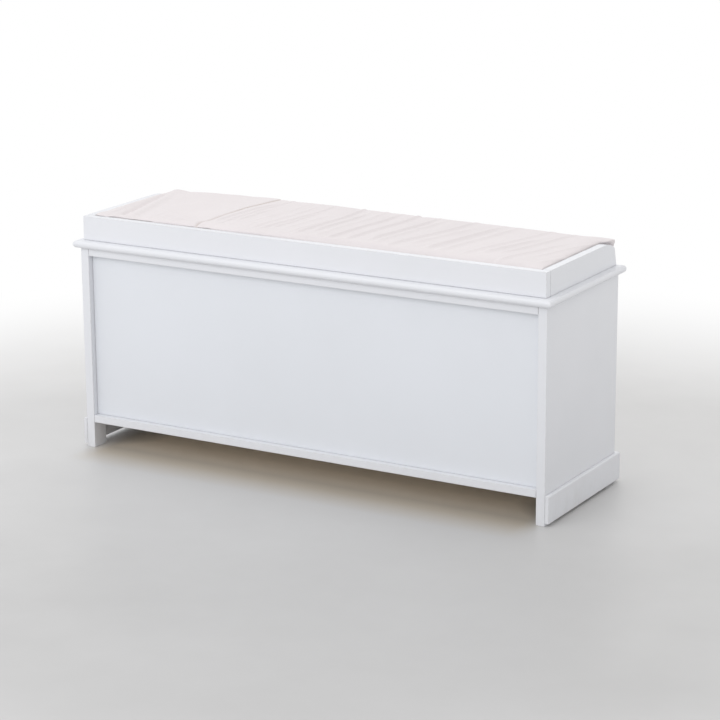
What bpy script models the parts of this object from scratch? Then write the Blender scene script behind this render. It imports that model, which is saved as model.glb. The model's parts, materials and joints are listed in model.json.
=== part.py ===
"""White storage bench with a three-sided rim, a loose seat cushion and three deep drawers.

Metres, +Z up.  The bench stands on Z = 0.  +X runs along its length, the drawers open towards -Y,
and the plain back faces +Y.  Left and right are those of a person looking at the drawers.
The origin is on the floor, under the centre of the whole object, knobs included.
"""
import math

import bmesh
import bpy
from mathutils import Matrix, Vector

# ---------------------------------------------------------------- driving dimensions
LENGTH = 1.018            # over the two side panels
DEPTH = 0.303             # of the side panels, front edge to rear edge
CARCASS_TOP = 0.409       # top of the side panels
BOARD = 0.018             # side panels
THIN_BOARD = 0.015        # bottom board, rails and top board
DIVIDER = 0.016
OVERHANG = 0.011          # of the top board, on all four sides
KNOB_REACH = 0.026        # from the drawer fronts' face to the knobs' tip
GAP = 0.0003              # between two pieces that touch

FOOT_DEPTH = 0.038        # of each of the four feet, front to back
FOOT_CUT = 0.042          # height of the cut-out between the feet
BOTTOM_UNDERSIDE = 0.0525
BACK_RECESS = 0.0125      # of the back panel, in from the rear edges
BACK_THICK = 0.005
RAIL_DEPTH = 0.060

RIM_THICK = 0.016
RIM_INSET = 0.0047        # of the rim, in from the carcass
RIM_TOP = 0.472
RIM_END_RADIUS = 0.090    # the side rims' top edge curves down to the front
RIM_END_RUN = 0.045       # length of that curve
RIM_END_LEAN = 0.0095     # the front end leans back by this much
RIM_NOSE_RADIUS = 0.005

PLINTH_THICK = 0.0075
PLINTH_LOW = 0.006        # its lower edge above the floor
PLINTH_HIGH = 0.059
PLINTH_CHAMFER = 0.002

CUSHION_TOP = 0.478
CUSHION_SIDE_GAP = 0.0018
CUSHION_FRONT_SETBACK = 0.0035
CUSHION_ROUND = 0.010

FRONT_THICK = 0.016       # drawer fronts
FRONT_REVEAL = 0.002      # gap round each drawer front
FRAME_WIDTH = 0.046       # raised border of a drawer front
FIELD_DEPTH = 0.004       # its routed field lies this much lower
FIELD_SLOPE = 0.005
BOX_BOARD = 0.012         # sides and back of the drawer boxes
BOX_HEIGHT = 0.220
BOX_LIFT = 0.014          # box above the bottom board
BOX_DEPTH = 0.258
GROOVE_LIFT = 0.010       # of the groove for the drawer bottom
GROOVE_DEPTH = 0.006
BASE_THICK = 0.004        # drawer bottom

SLIDE_SPACE = 0.0127      # beside the drawer box, each side
SLIDE_LENGTH = 0.250
SLIDE_LIFT = 0.095        # slide's centre line above the box's lower edge
OUTER_HEIGHT = 0.045
OUTER_STEEL = 0.0012
RACE_PLAY = 0.0006        # between one slide member and the next
MEMBER_STEEL = 0.0010
SLIDE_SETBACK = 0.002     # of the slides, behind the drawer front
CABINET_LIP = 0.0100      # how far each slide member's flanges reach, from the bay's wall
MIDDLE_WEB = 0.0030
MIDDLE_LIP = 0.0112
DRAWER_LIP = 0.0052

SCREW_RADIUS = 0.0020
BORE_RADIUS = 0.0023
KNOB_CAP_RADIUS = 0.0155
KNOB_CAP_EDGE = 0.0215    # from the knob's seat to the cap's widest place
KNOB_CAP_THICK = 0.0095   # from there down to the waist
KNOB_WAIST = 0.0060
KNOB_WAIST_LOW = 0.0060
KNOB_FOOT_RADIUS = 0.0090
KNOB_FOOT = 0.0018
KNOB_BORE = 0.010
HEAD_RADIUS = 0.0042
HEAD_HEIGHT = 0.0024
SHANK_CHAMFER = 0.0004
SHANK_CLEARANCE = 0.001   # between the screw's tip and the end of its bore

EDGE = 0.0010             # softened edges of painted boards
FINE_EDGE = 0.0006        # of drawer box boards
TURN_STEPS = 32
SCREW_STEPS = 20
WELD = 0.00001            # distance at which doubled points become one

# ---------------------------------------------------------------- planes worked out from them
REAR_Y = (DEPTH + KNOB_REACH + OVERHANG) / 2 - OVERHANG
FRONT_Y = REAR_Y - DEPTH
HALF = LENGTH / 2
INNER = HALF - BOARD
BOTTOM_TOP = BOTTOM_UNDERSIDE + THIN_BOARD
RAIL_UNDERSIDE = CARCASS_TOP - THIN_BOARD
TOP_UNDERSIDE = CARCASS_TOP + GAP
SEAT = TOP_UNDERSIDE + THIN_BOARD
RIM_LOW = SEAT + GAP
RIM_OUTER = HALF - RIM_INSET
RIM_REAR = REAR_Y - RIM_INSET
BACK_FACE = REAR_Y - BACK_RECESS
BACK_INSIDE = BACK_FACE - BACK_THICK
BAY = (2 * INNER - 2 * DIVIDER) / 3
BAY_LOW = BOTTOM_TOP
BAY_HIGH = RAIL_UNDERSIDE
PLACES = (("left", -(BAY + DIVIDER)), ("middle", 0.0), ("right", BAY + DIVIDER))


# ---------------------------------------------------------------- scene and materials
def clear_scene():
    for item in list(bpy.data.objects):
        bpy.data.objects.remove(item, do_unlink=True)


def collection(name):
    group = bpy.data.collections.get(name) or bpy.data.collections.new(name)
    if group.name not in bpy.context.scene.collection.children:
        bpy.context.scene.collection.children.link(group)
    return group


def material(name, colour, roughness, metallic=0.0):
    made = bpy.data.materials.new(name)
    made.use_nodes = True
    shader = made.node_tree.nodes["Principled BSDF"]
    shader.inputs["Base Color"].default_value = (*colour, 1.0)
    shader.inputs["Roughness"].default_value = roughness
    shader.inputs["Metallic"].default_value = metallic
    return made


clear_scene()
PARTS = collection("storage_bench")
CUTTERS = collection("cutters")
PAINT = material("white_paint", (0.76, 0.77, 0.80), 0.42)
BOX_PAINT = material("drawer_box_white", (0.72, 0.72, 0.71), 0.55)
BASE_BOARD = material("drawer_bottom_board", (0.66, 0.66, 0.64), 0.60)
ZINC = material("zinc_plated_steel", (0.62, 0.63, 0.65), 0.38, 1.0)
NICKEL = material("satin_nickel", (0.60, 0.58, 0.55), 0.30, 1.0)
COTTON = material("ecru_cotton", (0.74, 0.70, 0.68), 0.95)


# ---------------------------------------------------------------- building blocks
def add_object(name, mesh, paint, location=(0.0, 0.0, 0.0)):
    made = bpy.data.objects.new(name, mesh)
    made.location = location
    mesh.materials.clear()
    mesh.materials.append(paint)
    PARTS.objects.link(made)
    return made


def soften(piece, width, segments=2):
    """Round off the edges of a board."""
    bevel = piece.modifiers.new("soft_edges", "BEVEL")
    bevel.width = width
    bevel.segments = segments
    bevel.limit_method = "ANGLE"
    bevel.angle_limit = math.radians(30.0)


def box_mesh(name, size):
    mesh = bpy.data.meshes.new(name)
    form = bmesh.new()
    bmesh.ops.create_cube(form, size=1.0)
    bmesh.ops.scale(form, vec=Vector(size), verts=form.verts)
    form.to_mesh(mesh)
    form.free()
    return mesh


def board(name, low, high, paint=None, edge=EDGE, segments=2):
    """A board between two corners, with its origin at its centre."""
    low = Vector(low)
    high = Vector(high)
    piece = add_object(name, box_mesh(name, high - low), paint or PAINT, (low + high) / 2)
    soften(piece, edge, segments)
    return piece


def extruded(name, outline, thickness, along, centre, paint):
    """A flat outline drawn as a filled 2D curve and extruded, welded into one mesh.

    along X: the outline is (Y, Z).  along Y: the outline is (X, Z).
    """
    curve = bpy.data.curves.new(name, "CURVE")
    curve.dimensions = "2D"
    curve.fill_mode = "BOTH"
    curve.extrude = thickness / 2
    line = curve.splines.new("POLY")
    line.points.add(len(outline) - 1)
    for point, (u, v) in zip(line.points, outline):
        point.co = (u, v, 0.0, 1.0)
    line.use_cyclic_u = True
    guide = bpy.data.objects.new(name + "_outline", curve)
    CUTTERS.objects.link(guide)
    bpy.context.view_layer.update()
    evaluated = guide.evaluated_get(bpy.context.evaluated_depsgraph_get())
    mesh = bpy.data.meshes.new_from_object(evaluated)
    bpy.data.objects.remove(guide, do_unlink=True)
    bpy.data.curves.remove(curve)
    mesh.name = name
    if along == "X":
        turn = Matrix(((0, 0, 1, 0), (1, 0, 0, 0), (0, 1, 0, 0), (0, 0, 0, 1)))
    else:
        turn = Matrix(((1, 0, 0, 0), (0, 0, -1, 0), (0, 1, 0, 0), (0, 0, 0, 1)))
    form = bmesh.new()
    form.from_mesh(mesh)
    bmesh.ops.transform(form, matrix=turn, verts=form.verts)
    bmesh.ops.remove_doubles(form, verts=form.verts, dist=WELD)
    bmesh.ops.recalc_face_normals(form, faces=form.faces)
    form.to_mesh(mesh)
    form.free()
    return add_object(name, mesh, paint, centre)


def turned(name, profile, paint, location, steps=TURN_STEPS):
    """A turned piece on the Y axis: profile is (radius, reach towards -Y), tip first."""
    mesh = bpy.data.meshes.new(name)
    form = bmesh.new()
    points = [form.verts.new((radius, 0.0, reach)) for radius, reach in profile]
    for first, second in zip(points, points[1:]):
        form.edges.new((first, second))
    form.to_mesh(mesh)
    form.free()
    piece = add_object(name, mesh, paint, location)
    piece.rotation_euler = (math.radians(90.0), 0.0, 0.0)
    screw = piece.modifiers.new("turn", "SCREW")
    screw.axis = "Z"
    screw.steps = steps
    screw.render_steps = steps
    screw.use_merge_vertices = True
    screw.merge_threshold = WELD
    screw.use_smooth_shade = True
    return piece


def cut(piece, cutter):
    cutter.hide_render = True
    cutter.display_type = "WIRE"
    hole = piece.modifiers.new("hole", "BOOLEAN")
    hole.operation = "DIFFERENCE"
    hole.solver = "EXACT"
    hole.object = cutter


def drill(name, radius, location, length):
    """A cylinder along Y, used as a cutter."""
    mesh = bpy.data.meshes.new(name)
    form = bmesh.new()
    bmesh.ops.create_cone(form, cap_ends=True, segments=24, radius1=radius, radius2=radius,
                          depth=length)
    form.to_mesh(mesh)
    form.free()
    made = bpy.data.objects.new(name, mesh)
    made.location = location
    made.rotation_euler = (math.radians(90.0), 0.0, 0.0)
    CUTTERS.objects.link(made)
    return made


# ---------------------------------------------------------------- carcass
def side_panel(name, side):
    """Side panel with a low cut-out at its foot, which leaves two feet."""
    outline = [
        (FRONT_Y, 0.0), (FRONT_Y + FOOT_DEPTH, 0.0),
        (FRONT_Y + FOOT_DEPTH, FOOT_CUT), (REAR_Y - FOOT_DEPTH, FOOT_CUT),
        (REAR_Y - FOOT_DEPTH, 0.0), (REAR_Y, 0.0),
        (REAR_Y, CARCASS_TOP), (FRONT_Y, CARCASS_TOP),
    ]
    piece = extruded(name, outline, BOARD, "X", (side * (HALF - BOARD / 2), 0.0, 0.0), PAINT)
    soften(piece, EDGE)


def build_carcass():
    side_panel("side_panel_left", -1)
    side_panel("side_panel_right", 1)
    reach = INNER - GAP
    board("bottom_board", (-reach, FRONT_Y, BOTTOM_UNDERSIDE), (reach, REAR_Y, BOTTOM_TOP))
    board("rear_top_rail", (-reach, REAR_Y - RAIL_DEPTH, RAIL_UNDERSIDE), (reach, REAR_Y, CARCASS_TOP))
    board("front_top_rail", (-reach, FRONT_Y, RAIL_UNDERSIDE), (reach, FRONT_Y + RAIL_DEPTH, CARCASS_TOP))
    low = BOTTOM_TOP + GAP
    high = RAIL_UNDERSIDE - GAP
    board("back_panel", (-reach, BACK_INSIDE, low), (reach, BACK_FACE, high), edge=FINE_EDGE)
    for name, side in (("divider_left", -1), ("divider_right", 1)):
        middle = side * (BAY + DIVIDER) / 2
        board(name, (middle - DIVIDER / 2, FRONT_Y, low), (middle + DIVIDER / 2, BACK_INSIDE - GAP, high))


def build_top_board():
    """Top board with a half-round edge on all four sides."""
    low = Vector((-HALF - OVERHANG, FRONT_Y - OVERHANG, TOP_UNDERSIDE))
    high = Vector((HALF + OVERHANG, REAR_Y + OVERHANG, SEAT))
    mesh = box_mesh("top_board", high - low)
    form = bmesh.new()
    form.from_mesh(mesh)
    level = [edge for edge in form.edges if abs(edge.verts[0].co.z - edge.verts[1].co.z) < GAP]
    bmesh.ops.bevel(form, geom=level, offset=THIN_BOARD / 2 - GAP, offset_type="OFFSET",
                    segments=8, profile=0.5, affect="EDGES")
    form.to_mesh(mesh)
    form.free()
    mesh.shade_smooth()
    mesh.set_sharp_from_angle(angle=math.radians(35.0))
    add_object("top_board", mesh, PAINT, (low + high) / 2)


def rim_end_outline():
    """Side rim in (Y, Z): level on top, curving down to a leaning front end."""
    rear = RIM_REAR - RIM_THICK - GAP
    toe = FRONT_Y + GAP
    curve_end = toe + RIM_END_LEAN
    curve_start = curve_end + RIM_END_RUN
    centre_z = RIM_TOP - RIM_END_RADIUS
    outline = [(toe, RIM_LOW), (rear, RIM_LOW), (rear, RIM_TOP)]
    last = math.asin(RIM_END_RUN / RIM_END_RADIUS)
    steps = 8
    for step in range(steps + 1):
        angle = last * step / steps
        outline.append((curve_start - RIM_END_RADIUS * math.sin(angle),
                        centre_z + RIM_END_RADIUS * math.cos(angle)))
    shoulder = Vector(outline.pop())
    down = (Vector((toe, RIM_LOW)) - shoulder).normalized()
    back = (Vector(outline[-1]) - shoulder).normalized()
    first = shoulder + back * RIM_NOSE_RADIUS
    second = shoulder + down * RIM_NOSE_RADIUS
    nose_steps = 5
    for step in range(nose_steps + 1):
        t = step / nose_steps
        point = first * (1 - t) ** 2 + shoulder * 2 * t * (1 - t) + second * t ** 2
        outline.append((point.x, point.y))
    return outline


def build_rim():
    board("rim_back", (-RIM_OUTER, RIM_REAR - RIM_THICK, RIM_LOW), (RIM_OUTER, RIM_REAR, RIM_TOP))
    for name, side in (("rim_left", -1), ("rim_right", 1)):
        centre = (side * (RIM_OUTER - RIM_THICK / 2), 0.0, 0.0)
        piece = extruded(name, rim_end_outline(), RIM_THICK, "X", centre, PAINT)
        soften(piece, EDGE)


def plinth_board(name, start, end, heading, inner_offset, mitre_start, mitre_end):
    """Plinth along its own X from start to end, outward face to its own -Y, turned by heading.

    A mitred end is longer on the outer face than on the inner one.
    """
    chamfer = PLINTH_CHAMFER
    outline = [(0.0, PLINTH_LOW), (-PLINTH_THICK, PLINTH_LOW),
               (-PLINTH_THICK, PLINTH_HIGH - chamfer), (-PLINTH_THICK + chamfer, PLINTH_HIGH),
               (0.0, PLINTH_HIGH)]
    piece = extruded(name, outline, end - start, "X", (0.0, 0.0, 0.0), PAINT)
    middle = (start + end) / 2
    for vert in piece.data.vertices:
        outward = -vert.co.y
        at_end = vert.co.x > 0
        vert.co.x += middle
        if at_end and mitre_end:
            vert.co.x += outward
        if not at_end and mitre_start:
            vert.co.x -= outward
        vert.co.y -= inner_offset
    piece.rotation_euler = (0.0, 0.0, heading)
    soften(piece, FINE_EDGE)


def build_plinth():
    mitre_gap = GAP * 0.75
    reach = HALF - mitre_gap + GAP
    front = FRONT_Y + mitre_gap - GAP
    quarter = math.radians(90.0)
    plinth_board("front_plinth", -reach, reach, 0.0, -FRONT_Y + GAP, True, True)
    plinth_board("side_plinth_right", front, REAR_Y, quarter, HALF + GAP, True, False)
    plinth_board("side_plinth_left", -REAR_Y, -front, -quarter, HALF + GAP, False, True)


# ---------------------------------------------------------------- cushion
def build_cushion():
    """Plain solid of the loose cushion that fills the tray."""
    side = RIM_OUTER - RIM_THICK - CUSHION_SIDE_GAP
    low = (-side, FRONT_Y + CUSHION_FRONT_SETBACK, SEAT + GAP)
    high = (side, RIM_REAR - RIM_THICK - CUSHION_SIDE_GAP, CUSHION_TOP)
    board("cushion", low, high, COTTON, CUSHION_ROUND, 3)


# ---------------------------------------------------------------- drawers
def drawer_front(name, middle):
    """Front with a raised border round a routed field."""
    width = BAY - 2 * FRONT_REVEAL
    height = BAY_HIGH - BAY_LOW - 2 * FRONT_REVEAL
    centre = (middle, FRONT_Y + FRONT_THICK / 2, (BAY_LOW + BAY_HIGH) / 2)
    mesh = box_mesh(name, (width, FRONT_THICK, height))
    form = bmesh.new()
    form.from_mesh(mesh)
    form.faces.ensure_lookup_table()
    face = min(form.faces, key=lambda item: item.calc_center_median().y)
    bmesh.ops.inset_region(form, faces=[face], thickness=FRAME_WIDTH)
    bmesh.ops.inset_region(form, faces=[face], thickness=FIELD_SLOPE)
    bmesh.ops.translate(form, vec=(0.0, FIELD_DEPTH, 0.0), verts=face.verts)
    form.to_mesh(mesh)
    form.free()
    piece = add_object(name, mesh, PAINT, centre)
    soften(piece, EDGE)
    cut(piece, drill(name + "_bore", BORE_RADIUS, centre, 2 * FRONT_THICK))
    return centre


def knob_profile():
    """Mushroom knob: a domed cap, a waist and a small foot, with a blind bore for its screw."""
    length = KNOB_REACH + FIELD_DEPTH - GAP
    dome = length - KNOB_CAP_EDGE
    profile = []
    dome_steps = 7
    for step in range(dome_steps + 1):
        angle = math.radians(90.0) * step / dome_steps
        profile.append((KNOB_CAP_RADIUS * math.sin(angle), KNOB_CAP_EDGE + dome * math.cos(angle)))
    waist_steps = 6
    for step in range(1, waist_steps + 1):
        angle = math.radians(90.0) * step / waist_steps
        profile.append((KNOB_CAP_RADIUS + (KNOB_WAIST - KNOB_CAP_RADIUS) * math.sin(angle),
                        KNOB_CAP_EDGE - KNOB_CAP_THICK * (1 - math.cos(angle))))
    flare = (KNOB_FOOT_RADIUS - KNOB_WAIST) / 6
    profile += [(KNOB_WAIST + flare, KNOB_WAIST_LOW), (KNOB_FOOT_RADIUS - flare, KNOB_FOOT * 1.45),
                (KNOB_FOOT_RADIUS, KNOB_FOOT), (KNOB_FOOT_RADIUS, 0.0),
                (BORE_RADIUS, 0.0), (BORE_RADIUS, KNOB_BORE), (0.0, KNOB_BORE)]
    return profile


def screw_profile():
    """Pan-head screw, tip first: its tip is in the knob, its head behind the drawer front."""
    shank = FRONT_THICK - FIELD_DEPTH + KNOB_BORE - SHANK_CLEARANCE
    return [(0.0, shank), (SCREW_RADIUS - SHANK_CHAMFER, shank), (SCREW_RADIUS, shank - SHANK_CHAMFER),
            (SCREW_RADIUS, 0.0), (HEAD_RADIUS, 0.0), (HEAD_RADIUS, -HEAD_HEIGHT * 0.45),
            (HEAD_RADIUS * 0.8, -HEAD_HEIGHT * 0.85), (HEAD_RADIUS * 0.4, -HEAD_HEIGHT),
            (0.0, -HEAD_HEIGHT)]


def channel(height, steel, web_at, lips_to):
    """C section in (X, Z): a web at one X and two flanges that run to another."""
    direction = 1 if lips_to > web_at else -1
    half = height / 2
    inner = web_at + direction * steel
    return [(web_at, -half), (lips_to, -half), (lips_to, -half + steel), (inner, -half + steel),
            (inner, half - steel), (lips_to, half - steel), (lips_to, half), (web_at, half)]


def slide_set(place, hand, wall_x, side):
    """Three telescoping channels between the bay's wall and the drawer's side."""
    level = BAY_LOW + BOX_LIFT + SLIDE_LIFT
    centre_y = FRONT_Y + FRONT_THICK + SLIDE_SETBACK + SLIDE_LENGTH / 2
    inner_height = OUTER_HEIGHT - 2 * OUTER_STEEL
    mid_height = inner_height - 2 * RACE_PLAY
    drawer_height = mid_height - 2 * MEMBER_STEEL - 2 * RACE_PLAY
    members = (
        ("cabinet", channel(OUTER_HEIGHT, OUTER_STEEL, GAP, CABINET_LIP)),
        ("middle", channel(mid_height, MEMBER_STEEL, MIDDLE_WEB, MIDDLE_LIP)),
        ("drawer", channel(drawer_height, MEMBER_STEEL, SLIDE_SPACE - GAP, DRAWER_LIP)),
    )
    for member, section in members:
        outline = [(side * x, z) for x, z in section]
        name = f"{place}_slide_{hand}_{member}"
        extruded(name, outline, SLIDE_LENGTH, "Y", (wall_x, centre_y, level), ZINC)


def drawer_side(name, outer_x, side, low):
    """Box side with a groove for the bottom; side is +1 where the inside lies towards +X."""
    front = FRONT_Y + FRONT_THICK + GAP
    groove_low = GROOVE_LIFT
    groove_high = GROOVE_LIFT + BASE_THICK + 2 * GAP
    section = [(0.0, 0.0), (BOX_BOARD, 0.0), (BOX_BOARD, groove_low),
               (BOX_BOARD - GROOVE_DEPTH, groove_low), (BOX_BOARD - GROOVE_DEPTH, groove_high),
               (BOX_BOARD, groove_high), (BOX_BOARD, BOX_HEIGHT), (0.0, BOX_HEIGHT)]
    outline = [(side * x, z) for x, z in section]
    piece = extruded(name, outline, BOX_DEPTH, "Y", (outer_x, front + BOX_DEPTH / 2, low), BOX_PAINT)
    soften(piece, FINE_EDGE, 1)


def build_drawer(place, middle):
    centre = drawer_front(f"{place}_drawer_front", middle)
    field_y = FRONT_Y + FIELD_DEPTH
    turned(f"{place}_knob", knob_profile(), NICKEL, (middle, field_y - GAP, centre[2]))
    turned(f"{place}_knob_screw", screw_profile(), ZINC,
           (middle, FRONT_Y + FRONT_THICK + GAP, centre[2]), SCREW_STEPS)

    half_box = BAY / 2 - SLIDE_SPACE
    low = BAY_LOW + BOX_LIFT
    front = FRONT_Y + FRONT_THICK + GAP
    rear = front + BOX_DEPTH
    drawer_side(f"{place}_drawer_side_left", middle - half_box, 1, low)
    drawer_side(f"{place}_drawer_side_right", middle + half_box, -1, low)
    base_low = low + GROOVE_LIFT + GAP
    base_high = base_low + BASE_THICK
    base_reach = half_box - BOX_BOARD + GROOVE_DEPTH - 2 * GAP
    board(f"{place}_drawer_bottom", (middle - base_reach, front, base_low),
          (middle + base_reach, rear, base_high), BASE_BOARD, GAP, 1)
    inside = half_box - BOX_BOARD - GAP
    board(f"{place}_drawer_back", (middle - inside, rear - BOX_BOARD, base_high + GAP),
          (middle + inside, rear, low + BOX_HEIGHT), BOX_PAINT, FINE_EDGE, 1)
    slide_set(place, "left", middle - BAY / 2, 1)
    slide_set(place, "right", middle + BAY / 2, -1)


build_carcass()
build_top_board()
build_rim()
build_plinth()
build_cushion()
for drawer_place, drawer_middle in PLACES:
    build_drawer(drawer_place, drawer_middle)
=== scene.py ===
"""Looks of the white storage bench: lacquered boards, steel slides, nickel knobs and a cotton cushion.

Metres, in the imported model's frame: +X along the length, drawers towards -Y, back towards +Y.
"""

import json
import math
import random
from collections import namedtuple

import bmesh
import bpy
from mathutils import Matrix, Vector, noise
from mathutils.bvhtree import BVHTree


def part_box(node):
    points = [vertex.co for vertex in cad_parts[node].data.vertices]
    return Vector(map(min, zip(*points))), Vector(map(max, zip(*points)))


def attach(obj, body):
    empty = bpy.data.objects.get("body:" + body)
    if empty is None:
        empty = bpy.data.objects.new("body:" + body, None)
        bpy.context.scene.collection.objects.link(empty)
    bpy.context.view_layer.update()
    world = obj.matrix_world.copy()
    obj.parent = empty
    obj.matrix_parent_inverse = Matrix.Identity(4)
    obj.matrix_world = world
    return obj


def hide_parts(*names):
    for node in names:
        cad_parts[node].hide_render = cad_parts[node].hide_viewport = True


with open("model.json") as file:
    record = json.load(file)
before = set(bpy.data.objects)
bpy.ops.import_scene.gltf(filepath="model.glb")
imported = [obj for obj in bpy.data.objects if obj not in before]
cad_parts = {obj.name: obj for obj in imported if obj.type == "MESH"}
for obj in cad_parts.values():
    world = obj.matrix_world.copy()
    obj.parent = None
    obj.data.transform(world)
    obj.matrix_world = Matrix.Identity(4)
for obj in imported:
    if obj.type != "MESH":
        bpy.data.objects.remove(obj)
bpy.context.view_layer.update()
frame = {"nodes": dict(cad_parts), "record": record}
RECORD = frame["record"]
BODY_OF = {node: body for body, nodes in RECORD["behaviour"]["bodies"].items() for node in nodes}
SLOT_OF = {part["node"]: part["material_slot"] for part in RECORD["subparts"]}
PLACES = ("left", "middle", "right")
MM = 0.001


# ---------------------------------------------------------------- camera, floor and light
CAMERA_AZIMUTH = math.radians(210.2)
CAMERA_ELEVATION = math.radians(15.304)
CAMERA_ROLL = math.radians(-0.373)
CAMERA_DISTANCE = 4.75
CAMERA_LENS = 123.7
CAMERA_AIM = Vector((-0.0506, 0.0315, 0.2226))


def build_camera():
    """The back and one end, from slightly above, at the distance of a studio picture."""
    level = math.cos(CAMERA_ELEVATION)
    towards = Vector((-math.sin(CAMERA_AZIMUTH) * level, math.cos(CAMERA_AZIMUTH) * level,
                      -math.sin(CAMERA_ELEVATION)))
    right = towards.cross(Vector((0.0, 0.0, 1.0))).normalized()
    right.rotate(Matrix.Rotation(-CAMERA_ROLL, 3, towards))
    up = right.cross(towards)
    data = bpy.data.cameras.new("camera")
    data.lens = CAMERA_LENS
    data.sensor_width = 36.0
    camera = bpy.data.objects.new("camera", data)
    bpy.context.scene.collection.objects.link(camera)
    turn = Matrix((right, up, -towards)).transposed().to_4x4()
    camera.matrix_world = Matrix.Translation(CAMERA_AIM - towards * CAMERA_DISTANCE) @ turn
    bpy.context.scene.camera = camera


def new_object(name, mesh):
    made = bpy.data.objects.new(name, mesh)
    bpy.context.scene.collection.objects.link(made)
    return made


class Graph:
    """Short calls that build a material's nodes; each material below calls its own graph g."""

    def __init__(self, name):
        self.material = bpy.data.materials.new(name)
        self.material.use_nodes = True
        self.tree = self.material.node_tree
        self.shader = self.tree.nodes["Principled BSDF"]

    def put(self, node, socket, value):
        target = node.inputs[socket]
        if isinstance(value, bpy.types.NodeSocket):
            self.tree.links.new(value, target)
        else:
            target.default_value = value

    def add(self, kind, inputs, output=0, **settings):
        node = self.tree.nodes.new("ShaderNode" + kind)
        for key, value in settings.items():
            setattr(node, key, value)
        for socket, value in inputs.items():
            self.put(node, socket, value)
        return node.outputs[output]

    def place(self):
        return self.add("TexCoord", {}, output="Object")

    def math(self, operation, first, second=0.0, third=0.0):
        return self.add("Math", {0: first, 1: second, 2: third}, operation=operation)

    def vector(self, operation, first, second=(0.0, 0.0, 0.0)):
        return self.add("VectorMath", {0: first, 1: second}, operation=operation)

    def stretch(self, vector, scale):
        return self.vector("MULTIPLY", vector, scale)

    def scaled(self, vector, factor):
        return self.add("VectorMath", {0: vector, "Scale": factor}, operation="SCALE")

    def measure(self, operation, first, second=(0.0, 0.0, 0.0)):
        """Vector arithmetic that gives one number."""
        return self.add("VectorMath", {0: first, 1: second}, output=1, operation=operation)

    def split(self, vector):
        node = self.tree.nodes.new("ShaderNodeSeparateXYZ")
        self.put(node, 0, vector)
        return node.outputs

    def noise(self, vector, scale, detail=2.0, roughness=0.5):
        """Scale counts the pattern's cells in a metre."""
        return self.add("TexNoise", {"Vector": vector, "Scale": scale, "Detail": detail,
                                     "Roughness": roughness})

    def waves(self, vector, scale, axis):
        """Even bands across an axis; scale 1 gives 20 / tau of them in a metre."""
        return self.add("TexWave", {"Vector": vector, "Scale": scale}, output=1,
                        wave_type="BANDS", bands_direction=axis)

    def remap(self, value, low, high, to_low=0.0, to_high=1.0):
        return self.add("MapRange", {"Value": value, "From Min": low, "From Max": high,
                                     "To Min": to_low, "To Max": to_high}, clamp=True)

    def mix(self, share, first, second):
        return self.add("Mix", {0: share, 6: (*first, 1.0) if isinstance(first, tuple) else first,
                                7: (*second, 1.0) if isinstance(second, tuple) else second},
                        output=2, data_type="RGBA")

    def bump(self, height, strength, distance, under=None):
        inputs = {"Height": height, "Strength": strength, "Distance": distance}
        if under is not None:
            inputs["Normal"] = under
        return self.add("Bump", inputs)

    def finish(self, colour, roughness, normal=None, **fixed):
        self.put(self.shader, "Base Color", colour)
        self.put(self.shader, "Roughness", roughness)
        if normal is not None:
            self.put(self.shader, "Normal", normal)
        for socket, value in fixed.items():
            self.shader.inputs[socket.replace("_", " ")].default_value = value
        return self.material


FLOOR_RADIUS = 40.0
FLOOR_GREY = (0.625, 0.62, 0.615)
FLOOR_SHADE = (0.595, 0.59, 0.585)
FLOOR_SPECK = (0.50, 0.48, 0.46)
# Painted light on the floor around the bench: a warm, lighter tone for bounced light far in under it, and a
# darker one for its shade along the rear edge.
PAINTED_BOUNCE_TONE = (0.97, 0.84, 0.67)         # of the floor far in under the bench, warm in the photo
PAINTED_BOUNCE_FADE = (-0.02, -0.09)             # where it starts and is full, negative inside the outline
PAINTED_REAR_SHADE_TONE = (0.53, 0.475, 0.40)      # painted shade, darker and warm, along the bench's open rear edge
PAINTED_REAR_SHADE_FADE = (0.09, 0.01)                  # the same for that tone, behind the outline,
FRONT_FADE = 0.03                         # inwards from the front edge
END_FADE = (0.015, -0.025)                # and past the two ends
CAMERA_WAY = Vector((-0.503, 0.864, 0.0))   # over the floor towards the photo's camera
NEARNESS = (-0.35, 0.45)                  # the stretch of that way along which the floor's tone is darkened, painted shade
FAR_GAIN = 1.03                           # the share of its tone at the start of the stretch
NEAR_PAINTED_SHADE = 0.84                           # and at the end, painted shade on the camera's side
FADE_CENTRE = (-0.15, 0.26, 0.0)
FLOOR_FADE = (0.90, 1.90)     # this far from there, the floor goes over into the white studio
STUDIO_WHITE = 1.0
DIM_SIDE = Vector((-0.86, 0.34, -0.38))   # the studio is darker low down on this side
DIM_SHARE = 0.62


def painted_shadow_shares(g, spot):
    """Where the floor has its two painted shadow tones: painted bounce light far in under the bench, and
    painted shade along its rear edge.
    """
    low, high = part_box("bottom_board")
    half = (high - low) / 2
    x, y, _ = g.split(g.vector("SUBTRACT", spot, tuple((low + high) / 2)))
    past_ends = g.math("SUBTRACT", g.math("ABSOLUTE", x), half.x)
    past_sides = g.math("SUBTRACT", g.math("ABSOLUTE", y), half.y)
    painted_bounce_share = g.remap(g.math("MAXIMUM", past_ends, past_sides), *PAINTED_BOUNCE_FADE)
    painted_rear_shade_share = g.math("MULTIPLY", g.remap(y, half.y + PAINTED_REAR_SHADE_FADE[0], half.y + PAINTED_REAR_SHADE_FADE[1]),
                        g.remap(y, -half.y, -half.y + FRONT_FADE))
    painted_rear_shade_share = g.math("MULTIPLY", painted_rear_shade_share, g.remap(past_ends, *END_FADE))
    return painted_bounce_share, painted_rear_shade_share


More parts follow.
